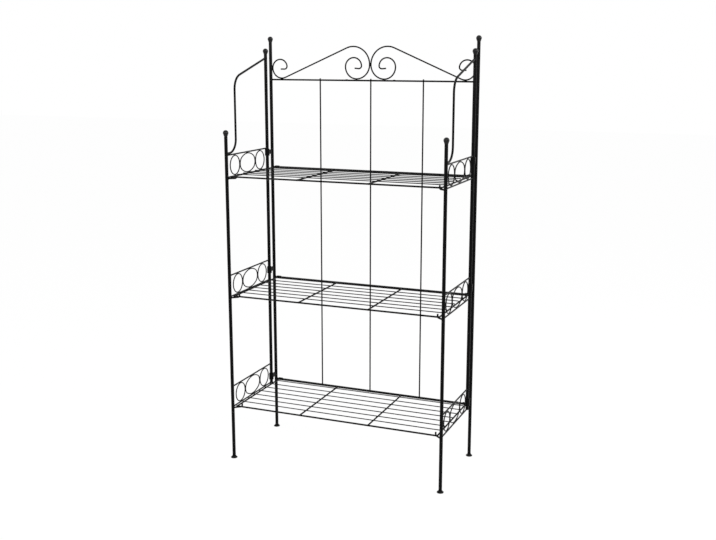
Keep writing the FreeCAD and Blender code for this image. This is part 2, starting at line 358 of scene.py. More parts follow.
# ---- finishes -----------------------------------------------------------------------------
@dataclass(frozen=True)
class CoatFinish:
    """A dark coat over steel or a moulded skin: colours, gloss, grain and how it has aged."""

    name: str
    slot: Slot
    colour: Colour
    rubbed_colour: Colour
    roughness: float
    rubbed_roughness: float
    specular: float
    peel_depth: float
    grit: float
    wear_spread: float
    dust: float
    dust_colour: Colour = (0.12, 0.117, 0.113)

    def build(self) -> bpy.types.Material:
        """Builds the material.

        Returns:
            A node material that reads Object coordinates.
        """
        material = bpy.data.materials.new(self.name)
        material.use_nodes = True
        tree = material.node_tree
        shader = tree.nodes["Principled BSDF"]
        shader.inputs["Specular IOR Level"].default_value = self.specular
        place = tree.nodes.new("ShaderNodeTexCoord").outputs["Object"]
        wear = self._effect(tree, Effect.RUB_WEAR, place, self.wear_spread)
        dust = self._effect(tree, Effect.SETTLED_DUST, place, self.dust)
        peel = self._effect(tree, Effect.ORANGE_PEEL, place, self.grit)
        rubbed = self._mix(tree, wear, self.colour, self.rubbed_colour)
        dusted = self._mix(tree, dust, rubbed, self.dust_colour)
        tree.links.new(dusted, shader.inputs["Base Color"])
        gloss = tree.nodes.new("ShaderNodeMapRange")
        gloss.inputs["To Min"].default_value = self.roughness
        gloss.inputs["To Max"].default_value = self.rubbed_roughness
        tree.links.new(wear, gloss.inputs["Value"])
        matt = tree.nodes.new("ShaderNodeMath")
        matt.operation = "ADD"
        matt.use_clamp = True
        tree.links.new(gloss.outputs["Result"], matt.inputs[0])
        tree.links.new(dust, matt.inputs[1])
        tree.links.new(matt.outputs["Value"], shader.inputs["Roughness"])
        bump = tree.nodes.new("ShaderNodeBump")
        bump.inputs["Strength"].default_value = 1.0
        bump.inputs["Distance"].default_value = self.peel_depth * MM
        tree.links.new(peel, bump.inputs["Height"])
        tree.links.new(bump.outputs["Normal"], shader.inputs["Normal"])
        return material

    @staticmethod
    def _effect(tree: bpy.types.NodeTree, effect: Effect, place: bpy.types.NodeSocket,
                value: float) -> bpy.types.NodeSocket:
        """Places a shared effect in the material.

        Args:
            tree: The material's tree.
            effect: The effect.
            place: Coordinates that it reads.
            value: This finish's own value of the effect's setting.

        Returns:
            What the effect puts out.
        """
        node = tree.nodes.new("ShaderNodeGroup")
        node.node_tree = Effects.group(effect)
        node.inputs[effect.value].default_value = value
        tree.links.new(place, node.inputs["Position"])
        return node.outputs[0]

    @staticmethod
    def _mix(tree: bpy.types.NodeTree, mask: bpy.types.NodeSocket, a: ColourFeed,
             b: ColourFeed) -> bpy.types.NodeSocket:
        """Mixes two colours by a mask.

        Args:
            tree: The material's tree.
            mask: 0 for the first colour, 1 for the second.
            a: First colour.
            b: Second colour.

        Returns:
            The mixed colour.
        """
        node = tree.nodes.new("ShaderNodeMix")
        node.data_type = "RGBA"
        tree.links.new(mask, node.inputs["Factor"])
        for label, value in (("A", a), ("B", b)):
            socket = next(s for s in node.inputs if s.name == label and s.type == "RGBA")
            if isinstance(value, bpy.types.NodeSocket):
                tree.links.new(value, socket)
            else:
                socket.default_value = (*value, 1.0)
        return next(s for s in node.outputs if s.type == "RGBA")


SATIN_BLACK = CoatFinish(
    name="satin_black_powder_coat", slot=Slot.STEEL,
    colour=(0.0022, 0.0022, 0.0023), rubbed_colour=(0.0045, 0.0045, 0.0046),
    roughness=0.28, rubbed_roughness=0.2, specular=0.055,
    peel_depth=0.016, grit=0.25, wear_spread=0.42, dust=0.03)
GLOSS_BLACK = CoatFinish(
    name="gloss_black_turned_ball", slot=Slot.STEEL,
    colour=(0.0025, 0.0025, 0.0026), rubbed_colour=(0.005, 0.005, 0.0051),
    roughness=0.17, rubbed_roughness=0.12, specular=0.25,
    peel_depth=0.01, grit=0.15, wear_spread=0.45, dust=0.03)
WELD_BLACK = CoatFinish(
    name="powder_coat_over_weld", slot=Slot.STEEL,
    colour=(0.0025, 0.0025, 0.0026), rubbed_colour=(0.005, 0.005, 0.0051),
    roughness=0.36, rubbed_roughness=0.28, specular=0.09,
    peel_depth=0.09, grit=0.5, wear_spread=0.38, dust=0.06)
FOOT_BLACK = CoatFinish(
    name="matt_black_moulded_foot", slot=Slot.FOOT,
    colour=(0.0045, 0.0045, 0.0047), rubbed_colour=(0.008, 0.008, 0.0082),
    roughness=0.5, rubbed_roughness=0.42, specular=0.09,
    peel_depth=0.04, grit=0.8, wear_spread=0.36, dust=0.15)
FINISHES = (SATIN_BLACK, GLOSS_BLACK, WELD_BLACK, FOOT_BLACK)


# ---- paths --------------------------------------------------------------------------------
@dataclass(frozen=True)
class BarPath:
    """Line of a bent bar: straight runs and tangent arcs in the plane of two axes.

    A move is a length, or a pair of bend radius and turn in degrees, positive from u to v.
    """

    origin: Vector
    u_axis: Vector
    v_axis: Vector
    heading: float
    moves: tuple[Move, ...]

    def direction(self, heading: float) -> Vector:
        """Unit vector of a heading in degrees."""
        angle = math.radians(heading)
        return self.u_axis * math.cos(angle) + self.v_axis * math.sin(angle)

    def centre(self, point: Vector, heading: float, bend: float, turn: float) -> Vector:
        """Centre of a bend that starts at a point."""
        return point + self.direction(heading + math.copysign(90.0, turn)) * bend

    def step(self, point: Vector, heading: float, move: Move) -> tuple[Vector, float]:
        """Takes one move.

        Args:
            point: Where the move starts.
            heading: Heading there.
            move: The move.

        Returns:
            The point and the heading after it.
        """
        if not isinstance(move, tuple):
            return point + self.direction(heading) * move, heading
        bend, turn = move
        ahead = heading + turn
        back_out = self.direction(ahead - math.copysign(90.0, turn)) * bend
        return self.centre(point, heading, bend, turn) + back_out, ahead

    def end(self) -> tuple[Vector, float]:
        """Walks the path.

        Returns:
            The end point and the heading there.
        """
        point, heading = self.origin, self.heading
        for move in self.moves:
            point, heading = self.step(point, heading, move)
        return point, heading

    def turned_round(self) -> "BarPath":
        """The same line walked from its other end.

        Returns:
            The new path.
        """
        point, heading = self.end()
        moves = tuple((m[0], -m[1]) if isinstance(m, tuple) else m for m in reversed(self.moves))
        return BarPath(point, self.u_axis, self.v_axis, heading + 180.0, moves)


def unique(items: Iterable[Item]) -> list[Item]:
    """The items in their order, each once."""
    return list(dict.fromkeys(items))


def line(start: Vector, end: Vector) -> BarPath:
    """A path of one straight run.

    Args:
        start: Where it starts.
        end: Where it ends.

    Returns:
        The path.
    """
    run = end - start
    return BarPath(start, run.normalized(), run.orthogonal().normalized(), 0.0, (run.length,))


def upright(x: float, y: float, low: float, high: float) -> BarPath:
    """A straight path from one height to another."""
    return line(Vector((x, y, low)), Vector((x, y, high)))


def crosswise(half: float, y: float, z: float) -> BarPath:
    """A straight path from side to side, as far to the left as to the right."""
    return line(Vector((-half, y, z)), Vector((half, y, z)))


def front_to_back(x: float, front: float, back: float, z: float) -> BarPath:
    """A straight path along the rack's depth."""
    return line(Vector((x, front, z)), Vector((x, back, z)))


# ---- pieces -------------------------------------------------------------------------------
class Piece:
    """A mesh in the making, in millimetres, that becomes one object of the rack."""

    def __init__(self, name: str, body: str, finish: CoatFinish, *nodes: str) -> None:
        """Starts an empty piece.

        Args:
            name: The object's name.
            body: The body that the piece rides on.
            finish: The finish that it is dressed in.
            nodes: The frame's nodes that it stands for.
        """
        self.name, self.body, self.finish, self.nodes = name, body, finish, nodes
        self.bm = bmesh.new()

    def bar(self, path: BarPath, radius: float, sides: int, chamfer: float = 0.0,
            closed: bool = False) -> "Piece":
        """Sweeps a round bar along a path.

        Args:
            path: Line of the bar's centre.
            radius: Radius of the bar.
            sides: Faces round the bar.
            chamfer: Broken edge of the two cut ends, 0 for none.
            closed: True for a ring whose end meets its start.

        Returns:
            This piece.
        """
        bm, point, heading = self.bm, path.origin, path.heading
        first = ring = self._section(point, path.direction(heading), radius, sides)
        seed = first[0].verts[0]
        for move in path.moves:
            ahead, turned = path.step(point, heading, move)
            if isinstance(move, tuple):
                new = bmesh.ops.spin(bm, geom=unique(v for e in ring for v in e.verts) + ring,
                                     cent=path.centre(point, heading, *move),
                                     axis=path.u_axis.cross(path.v_axis),
                                     angle=math.radians(move[1]),
                                     steps=GRAIN.bend_steps(*move))["geom_last"]
                tip = [v for v in new if isinstance(v, bmesh.types.BMVert)]
            else:
                new = bmesh.ops.extrude_edge_only(bm, edges=ring)["geom"]
                tip = [v for v in new if isinstance(v, bmesh.types.BMVert)]
                bmesh.ops.translate(bm, verts=tip, vec=ahead - point)
            inside = set(tip)
            ring = unique(e for v in tip for e in v.link_edges if e.other_vert(v) in inside)
            point, heading = ahead, turned
        if closed:
            bmesh.ops.remove_doubles(bm, verts=self._island(seed), dist=GRAIN.ring_join)
            return self
        for edges in (first, ring):
            bmesh.ops.contextual_create(bm, geom=edges)
        if chamfer:
            self._break_edges(first + ring, chamfer)
        return self

    def hoop(self, centre: Vector, bend: float, radius: float, sides: int) -> "Piece":
        """Bends a round bar into a closed ring that faces along X.

        Args:
            centre: Middle of the ring.
            bend: Radius of the bar's centre line.
            radius: Radius of the bar.
            sides: Faces round the bar.

        Returns:
            This piece.
        """
        edges = self._section(centre - Z_AXIS * bend, Y_AXIS, radius, sides)
        bmesh.ops.spin(self.bm, geom=unique(v for e in edges for v in e.verts) + edges,
                       cent=centre, axis=X_AXIS, angle=math.tau,
                       steps=GRAIN.bend_steps(bend, 360.0), use_merge=True)
        return self

    def _section(self, place: Vector, along: Vector, radius: float,
                 sides: int) -> list[bmesh.types.BMEdge]:
        """Draws the round outline of a bar, square to it.

        Args:
            place: Centre of the outline.
            along: Direction of the bar.
            radius: Radius of the bar.
            sides: Faces round the bar.

        Returns:
            The outline's edges.
        """
        turn = along.to_track_quat("Z", "Y").to_matrix().to_4x4()
        made = bmesh.ops.create_circle(self.bm, cap_ends=False, segments=sides, radius=radius,
                                       matrix=Matrix.Translation(place) @ turn)
        return unique(e for v in made["verts"] for e in v.link_edges)

    def _break_edges(self, edges: list[bmesh.types.BMEdge], width: float) -> None:
        """Rounds sharp edges off.

        Args:
            edges: The edges.
            width: How far the rounding reaches from them.
        """
        bmesh.ops.bevel(self.bm, geom=edges, offset=width, offset_type="OFFSET",
                        segments=GRAIN.edge_segments, profile=0.5, affect="EDGES", material=-1,
                        clamp_overlap=True)

    @staticmethod
    def _island(start: bmesh.types.BMVert) -> list[bmesh.types.BMVert]:
        """Finds the part of the mesh that a vertex belongs to.

        Args:
            start: The vertex.

        Returns:
            All vertices joined to it by edges, itself included.
        """
        found, queue = {start: None}, [start]
        while queue:
            for edge in queue.pop().link_edges:
                for vert in edge.verts:
                    if vert not in found:
                        found[vert] = None
                        queue.append(vert)
        return list(found)

    def lathe(self, profile: Sequence[tuple[float, float]], sides: int, place: Vector,
              axis: Vector = Z_AXIS, loop: bool = False) -> "Piece":
        """Turns a profile about an axis.

        Args:
            profile: Points of radius and height along the axis.
            sides: Faces round the axis.
            place: Where the axis starts.
            axis: Direction of the axis.
            loop: True for a profile that closes on itself, as a sleeve's wall does.

        Returns:
            This piece.
        """
        bm = self.bm
        verts = [bm.verts.new((r, 0, h)) for r, h in profile]
        edges = [bm.edges.new(pair) for pair in zip(verts, verts[1:])]
        if loop:
            edges.append(bm.edges.new((verts[-1], verts[0])))
        bmesh.ops.spin(bm, geom=verts + edges, cent=(0, 0, 0), axis=Z_AXIS, angle=math.tau,
                       steps=sides, use_merge=True)
        island = self._island(verts[0])
        bmesh.ops.remove_doubles(bm, verts=island, dist=GRAIN.pole_join)
        island = [v for v in island if v.is_valid]
        turn = axis.to_track_quat("Z", "Y").to_matrix().to_4x4()
        bmesh.ops.transform(bm, matrix=Matrix.Translation(place) @ turn, verts=island)
        return self

    def sleeve(self, start: Vector, end: Vector, bore: float, outer: float, sides: int,
               chamfer: float) -> "Piece":
        """Turns a round sleeve with broken edges.

        Args:
            start: Centre of one end.
            end: Centre of the other end.
            bore: Inner radius.
            outer: Outer radius.
            sides: Faces round the sleeve.
            chamfer: Width of the broken edges.

        Returns:
            This piece.
        """
        run, c = (end - start).length, chamfer
        wall = [(bore, c), (bore + c, 0), (outer - c, 0), (outer, c), (outer, run - c),
                (outer - c, run), (bore + c, run), (bore, run - c)]
        return self.lathe(wall, sides, start, (end - start).normalized(), loop=True)

    def plate(self, low: Vector, high: Vector, chamfer: float) -> "Piece":
        """Adds a flat bar with broken edges.

        Args:
            low: Its lowest corner.
            high: Its highest corner.
            chamfer: Width of the broken edges.

        Returns:
            This piece.
        """
        made = bmesh.ops.create_cube(self.bm, size=1.0,
                                     matrix=Matrix.Translation((low + high) / 2)
                                     @ Matrix.Diagonal((*(high - low), 1.0)))
        self._break_edges(unique(e for v in made["verts"] for e in v.link_edges), chamfer)
        return self

    def bead(self, surface: Vector, along: Vector, across: Vector, bar: float, post: float,
             size: float) -> "Piece":
        """Lays a fillet weld round the end of a bar that meets a round post.

        Args:
            surface: Point on the post's axis where the bar's axis meets it.
            along: Direction of the bar, away from the post.
            across: Direction of the post's axis.
            bar: Radius of the bar.
            post: Radius of the post.
            size: Radius of the bead.

        Returns:
            This piece.
        """
        bm = self.bm
        lateral = along.cross(across)
        upended = Matrix.Rotation(math.radians(90), 4, "X")
        made = bmesh.ops.create_circle(bm, cap_ends=False, segments=WELD.bead_sides, radius=size,
                                       matrix=Matrix.Translation(
                                           (bar + size * WELD.bead_offset, 0, 0)) @ upended)
        edges = unique(e for v in made["verts"] for e in v.link_edges)
        bmesh.ops.spin(bm, geom=made["verts"] + edges, cent=(0, 0, 0), axis=Z_AXIS,
                       angle=math.tau, steps=WELD.bead_steps, use_merge=True)
        for vert in self._island(made["verts"][0]):
            x, y, z = vert.co
            drop = math.sqrt(max(post * post - x * x, post * post * WELD.bead_least_drop))
            ripple = 1.0 + WELD.bead_ripple * noise.noise(
                vert.co * WELD.bead_pitch + surface * WELD.bead_drift)
            out = Vector((x, y))
            flat = out.normalized() * (bar + (out.length - bar) * ripple)
            vert.co = (surface + lateral * flat.x + across * flat.y
                       + along * (drop + z * ripple * WELD.bead_flattening))
        return self

    def blob(self, place: Vector, long_axis: Vector, half: HalfSizes) -> "Piece":
        """Sets a spot weld, a soft lump where two rods touch.

        Args:
            place: Centre of the touch.
            long_axis: Direction of the first half size.
            half: Three half sizes, along long_axis, sideways and up.

        Returns:
            This piece.
        """
        made = bmesh.ops.create_icosphere(self.bm, subdivisions=2, radius=1.0)
        side = X_AXIS if long_axis == Z_AXIS else Z_AXIS.cross(long_axis)
        up = long_axis.cross(side)
        for vert in made["verts"]:
            lump = vert.co * (1.0 + WELD.lump_ripple * noise.noise(
                vert.co * WELD.lump_pitch + place * WELD.lump_drift))
            vert.co = (place + long_axis * lump.x * half[0] + side * lump.y * half[1]
                       + up * lump.z * half[2])
        return self

    def finish_off(self, materials: dict[str, bpy.types.Material]) -> bpy.types.Object:
        """Turns the mesh into an object in the rack's frame.

        Args:
            materials: Built materials by finish name.

        Returns:
            The object, riding on its body and standing for its nodes.
        """
        bm, limit = self.bm, math.radians(GRAIN.smooth_under)
        bmesh.ops.recalc_face_normals(bm, faces=bm.faces)
        for face in bm.faces:
            face.smooth = True
        for edge in bm.edges:
            edge.smooth = len(edge.link_faces) == 2 and edge.calc_face_angle() < limit
        bmesh.ops.scale(bm, vec=(MM, MM, MM), verts=bm.verts)
        mesh = bpy.data.meshes.new(self.name)
        bm.to_mesh(mesh)
        bm.free()
        mesh.materials.append(materials[self.finish.name])
        obj = bpy.data.objects.new(self.name, mesh)
        bpy.context.scene.collection.objects.link(obj)
        if self.nodes:
            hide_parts(*self.nodes)
        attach(obj, self.body)
        LOG.info("%s: %d faces on %s", self.name, len(mesh.polygons), self.body)
        return obj


class SubAssembly:
    """What the sub-assemblies share: a body and the pieces made for it."""

    body: str = ""

    def pieces(self) -> list[Piece]:
        """The pieces of the sub-assembly."""
        raise NotImplementedError

    def build(self, materials: dict[str, bpy.types.Material]) -> int:
        """Builds and dresses every piece.

        Args:
            materials: Built materials by finish name.

        Returns:
            How many pieces there are.
        """
        made = [piece.finish_off(materials) for piece in self.pieces()]
        LOG.info("%s: %d pieces", self.body, len(made))
        return len(made)


@dataclass(frozen=True)
class PostFittings:
    """The ball finial on top of a post and the flared cap under it."""

    ball: float = 8.5
    neck: float = 7.2
    neck_drop: float = 10.5
    collar_out: float = 0.9
    collar_rise: float = 2.6
    shoulder_in: float = 0.25
    shoulder_rise: float = 5.4
    ball_arcs: int = 16
    foot_bottom: float = 10.25
    foot_top: float = 6.4
    foot_height: float = 6.6
    foot_rim: float = 2.0
    foot_hollow: float = 0.8
    foot_floor: float = 2.4
    foot_tread: float = 2.6
    foot_edge: float = 0.6
    foot_round: float = 0.15
    foot_lip: float = 0.35
    flare_shares: tuple[float, ...] = (0.08, 0.25, 0.42, 0.58, 0.75, 0.9)
    edge: float = 0.3

    def finial(self, name: str, node: str, body: str, x: float, y: float, z: float) -> Piece:
        """Turns a ball on a tapered neck.

        Args:
            name: The piece's name.
            node: The node that it stands for.
            body: The body that it rides on.
            x: Place of the post.
            y: Place of the post.
            z: Height of the ball's centre.

        Returns:
            The piece.
        """
        low, r, post = -self.neck_drop, self.ball, STOCK.post
        start = math.asin(self.neck / r)
        arc = [start + (math.pi - start) * k / self.ball_arcs for k in range(self.ball_arcs)]
        profile = [(0.0, low), (post - self.edge, low), (post, low + self.edge),
                   (post + self.collar_out, low + self.collar_rise),
                   (self.neck - self.shoulder_in, low + self.shoulder_rise)]
        profile += [(r * math.sin(a), -r * math.cos(a)) for a in arc] + [(0.0, r)]
        return Piece(name, body, GLOSS_BLACK, node).lathe(profile, GRAIN.turned_sides,
                                                          Vector((x, y, z)))

    def foot(self, name: str, node: str, body: str, x: float, y: float) -> Piece:
        """Turns a cap with a trumpet flare, pushed onto the end of a post.

        Args:
            name: The piece's name.
            node: The node that it stands for.
            body: The body that it rides on.
            x: Place of the post.
            y: Place of the post.

        Returns:
            The piece.
        """
        b, t, h, rim = self.foot_bottom, self.foot_top, self.foot_height, self.foot_rim
        post, lip, edge, floor = STOCK.post, self.foot_lip, self.foot_edge, self.foot_floor
        flare = []
        for share in self.flare_shares:
            dip = self.foot_hollow * 4 * share * (1 - share) / math.hypot(b - t, h - rim)
            flare.append((b - (b - t) * share - (h - rim) * dip,
                          rim + (h - rim) * share - (b - t) * dip))
        profile = [(0.0, 0.0), (b - self.foot_tread, 0.0), (b - edge, 0.0),
                   (b - self.foot_round, self.foot_round), (b, edge), (b, rim), *flare,
                   (t, h - lip), (t - lip, h), (post + self.edge, h), (post, h - self.edge),
                   (post, floor), (0.0, floor)]
        return Piece(name, body, FOOT_BLACK, node).lathe(profile, GRAIN.turned_sides,
                                                         Vector((x, y, 0)))


FITTINGS = PostFittings()


# ---- back panel ---------------------------------------------------------------------------
@dataclass(frozen=True)
class BackPanel(SubAssembly):
    """Two posts, four rails, three rods, the scrolled crest and the hinge brackets.

    sleeve_rise goes from the lower shelf up. A scroll's long tangent runs from its outer
    bend up to its top bend, and its curls are the moves from those bends to its tips.
    """

    body: str = "back_panel"
    ball_z: float = 1309.0
    top_rail_z: float = 1182.0
    rod_y: float = 155.25
    top_rail_y: float = 150.4
    rail_bite: float = 0.4
    rod_x: tuple[float, float, float] = (-172.5, 0.0, 172.5)
    rod_overrun: float = 3.0
    end_edge: float = 0.35
    outer_curl: tuple[Move, ...] = ((27.0, -90.0), (24.0, -80.0), (9.0, -100.0), 13.0)
    inner_curl: tuple[Move, ...] = ((44.0, -90.0), (37.0, -90.0), (28.0, -90.0),
                                    (26.0, -85.0), (9.0, -100.0), 13.0)
    outer_bend: float = 32.0
    top_bend: float = 55.0
    sleeve_bore: float = 5.33
    sleeve_outer: float = 7.73
    sleeve_height: float = 22.0
    sleeve_rise: tuple[float, float, float] = (20.5, 33.0, 52.85)
    arm_height: float = 14.0
    arm_thickness: float = 5.0
    arm_bite_front: float = 1.2
    arm_bite_back: float = 0.8
    bracket_edge: float = 0.5
    seam_radius: float = 0.9
    seam_stand: float = 0.2
    seam_bite: float = 0.3
    seam_inset: float = 1.0
    seam_edge: float = 0.3
    top_rail_bead: float = 0.9
    cross_rail_bead: float = 1.0
    curl_foot_spot: HalfSizes = (4.5, 1.9, 1.2)
    bow_foot_spot: HalfSizes = (4.5, 1.9, 1.0)
    bow_foot_out: float = 33.0
    post_touch_spot: HalfSizes = (4.5, 1.5, 1.9)
    centre_spot: HalfSizes = (4.5, 1.7, 1.2)
    rod_top_spot: HalfSizes = (3.0, 3.0, 1.1)
    rod_spot: HalfSizes = (3.2, 3.2, 1.2)

    @property
    def bow(self) -> float:
        """Radius of the scroll's bend beside the middle, which also sets its height."""
        return self.inner_curl[0][0]

    def scroll_path(self, side: Side) -> BarPath:
        """Works out one scroll: two curls and the tangent that crosses between them.

        Args:
            side: Which of the two.

        Returns:
            Line of the scroll, from the tip of its outer curl.
        """
        base = self.top_rail_z + STOCK.top_rail + STOCK.scroll
        outer = Vector((-STOCK.half_width + STOCK.post + STOCK.scroll + self.outer_bend,
                        base + self.outer_bend))
        inner = Vector((-STOCK.scroll - self.top_bend, base + self.bow))
        gap, reach = inner - outer, self.outer_bend + self.top_bend
        run = math.sqrt(gap.length_squared - reach * reach)
        lean = math.degrees(math.atan2(gap.y, gap.x) + math.atan2(reach, run))
        a = math.radians(lean)
        start = outer + Vector((math.sin(a), -math.cos(a))) * self.outer_bend
        u_axis = X_AXIS * -side.value
        outward = BarPath(u_axis * start.x + Y_AXIS * self.top_rail_y + Z_AXIS * start.y, u_axis,
                          Z_AXIS, lean + 180.0,
                          ((self.outer_bend, -(lean + 90.0)), *self.outer_curl))
        back = outward.turned_round()
        return BarPath(back.origin, u_axis, Z_AXIS, back.heading,
                       (*back.moves, run, (self.top_bend, -(lean + 90.0)), *self.inner_curl))

    def _post(self, side: Side) -> list[Piece]:
        """Makes one back post with its finial and foot.

        Args:
            side: Which of the two.

        Returns:
            The three pieces.
        """
        x, y, tag = side.value * STOCK.half_width, STOCK.back_y, side.label
        post = Piece(f"post_tube_back_{tag}", self.body, SATIN_BLACK, f"back_post_{tag}")
        post.bar(upright(x, y, FITTINGS.foot_floor, self.ball_z - FITTINGS.neck_drop),
                 STOCK.post, GRAIN.post_sides, self.end_edge)
        return [post,
                FITTINGS.finial(f"finial_ball_back_{tag}", f"back_finial_{tag}", self.body,
                                x, y, self.ball_z),
                FITTINGS.foot(f"foot_cap_back_{tag}", f"back_foot_{tag}", self.body, x, y)]

    def _rails(self) -> list[Piece]:
        """Makes the top rail and the three rails that the shelves turn on.

        Returns:
            The four pieces.
        """
        half = STOCK.half_width - STOCK.post * self.rail_bite
        spans = [("top_rail", self.top_rail_y, self.top_rail_z, STOCK.top_rail)]
        spans += [(f"cross_rail_{level.label}", STOCK.back_y, level.value, STOCK.cross_rail)
                  for level in Level]
        return [Piece(f"bar_{node}", self.body, SATIN_BLACK, node).bar(
            crosswise(half, y, z), radius, GRAIN.rail_sides) for node, y, z, radius in spans]

    def _rods(self) -> list[Piece]:
        """Makes the three thin rods behind the rails.

        Returns:
            The three pieces.
        """
        low = Level.LOWER.value - STOCK.cross_rail
        high = self.top_rail_z + STOCK.top_rail + self.rod_overrun
        return [Piece(f"bar_back_rod_{tag}", self.body, SATIN_BLACK, f"back_rod_{tag}").bar(
            upright(x, self.rod_y, low, high), STOCK.back_rod, GRAIN.rod_sides, self.end_edge)
            for tag, x in zip(("left", "centre", "right"), self.rod_x)]

    def _scrolls(self) -> list[Piece]:
        """Bends the two mirrored scrolls of the crest.

        Returns:
            The two pieces.
        """
        return [Piece(f"crest_scroll_{side.label}", self.body, SATIN_BLACK,
                      f"scroll_{side.label}").bar(self.scroll_path(side), STOCK.scroll,
                                                  GRAIN.rod_sides, self.end_edge)
                for side in Side]

    def _bracket(self, side: Side, level: Level, rise: float) -> Piece:
        """Makes a hinge bracket: a sleeve, its arm and the weld seams beside the arm.

        Args:
            side: The side that it is on.
            level: The shelf that it is at.
            rise: Height of its middle over the guard's bottom rail.

        Returns:
            The piece.
        """
        x, z = side.value * STOCK.half_width, STOCK.guard_low(level) + rise
        half, arm, thick = self.sleeve_height / 2, self.arm_height / 2, self.arm_thickness / 2
        front, back = STOCK.rear_y + self.sleeve_outer, STOCK.back_y - STOCK.post
        piece = Piece(f"hinge_sleeve_{side.label}_{level.label}", self.body, SATIN_BLACK,
                      f"{side.label}_hinge_bracket_{level.label}")
        piece.sleeve(Vector((x, STOCK.rear_y, z - half)), Vector((x, STOCK.rear_y, z + half)),
                     self.sleeve_bore, self.sleeve_outer, GRAIN.turned_sides,
                     self.bracket_edge)
        piece.plate(Vector((x - thick, front - self.arm_bite_front, z - arm)),
                    Vector((x + thick, back + self.arm_bite_back, z + arm)), self.bracket_edge)
        for y in (front - self.seam_bite, back):
            for end in ENDS:
                piece.bar(upright(x + end * (thick + self.seam_stand), y,
                                  z - arm + self.seam_inset, z + arm - self.seam_inset),
                          self.seam_radius, GRAIN.seam_sides, self.seam_edge)
        return piece

    def _weld_crest(self, weld: Piece) -> None:
        """Sets the spot welds that hold the scrolls to the rail, the posts and each other.

        Args:
            weld: The piece that they go in.
        """
        y, base = self.top_rail_y, self.top_rail_z + STOCK.top_rail
        curl_foot = STOCK.half_width - STOCK.post - STOCK.scroll - self.outer_bend
        bow_foot = STOCK.scroll + self.bow + self.bow_foot_out
        for side in Side:
            weld.blob(Vector((side.value * curl_foot, y, base)), X_AXIS, self.curl_foot_spot)
            weld.blob(Vector((side.value * bow_foot, y, base)), X_AXIS, self.bow_foot_spot)
            weld.blob(Vector((side.value * (STOCK.half_width - STOCK.post), y,
                              base + STOCK.scroll + self.outer_bend)), Z_AXIS,
                      self.post_touch_spot)
        weld.blob(Vector((0, y, base + STOCK.scroll + self.bow)), Z_AXIS, self.centre_spot)

    def _welds(self) -> Piece:
        """Lays the beads and spot welds of the panel over its bars.

        Returns:
            All of them as one piece.
        """
        weld = Piece("weld_beads_back_panel", self.body, WELD_BLACK)
        for side in Side:
            x, inward = side.value * STOCK.half_width, X_AXIS * -side.value
            weld.bead(Vector((x, self.top_rail_y, self.top_rail_z)), inward, Z_AXIS,
                      STOCK.top_rail, STOCK.post, self.top_rail_bead)
            for level in Level:
                weld.bead(Vector((x, STOCK.back_y, level.value)), inward, Z_AXIS,
                          STOCK.cross_rail, STOCK.post, self.cross_rail_bead)
        self._weld_crest(weld)
        for x in self.rod_x:
            weld.blob(Vector((x, self.top_rail_y + STOCK.top_rail, self.top_rail_z)), Z_AXIS,
                      self.rod_top_spot)
            for level in Level:
                weld.blob(Vector((x, STOCK.back_y + STOCK.cross_rail, level.value)), Z_AXIS,
                          self.rod_spot)
        return weld

    def pieces(self) -> list[Piece]:
        """Makes every piece of the back panel.

        Returns:
            The pieces.
        """
        made = self._rails() + self._rods() + self._scrolls() + [self._welds()]
        for side in Side:
            made += self._post(side)
            made += [self._bracket(side, *place) for place in zip(Level, self.sleeve_rise)]
        return made


# ---- side frames --------------------------------------------------------------------------
@dataclass(frozen=True)
class RingPlan:
    """Where the two rings and the oval of one guard lie, in its upright plane.

    y and z are the middle of the guard, and outer is the radius over a ring's bar. The rings
    lie ring_offset to both sides of the middle, and the oval reaches oval_half.
    """

    y: float
    z: float
    outer: float
    ring_offset: float
    oval_half: float


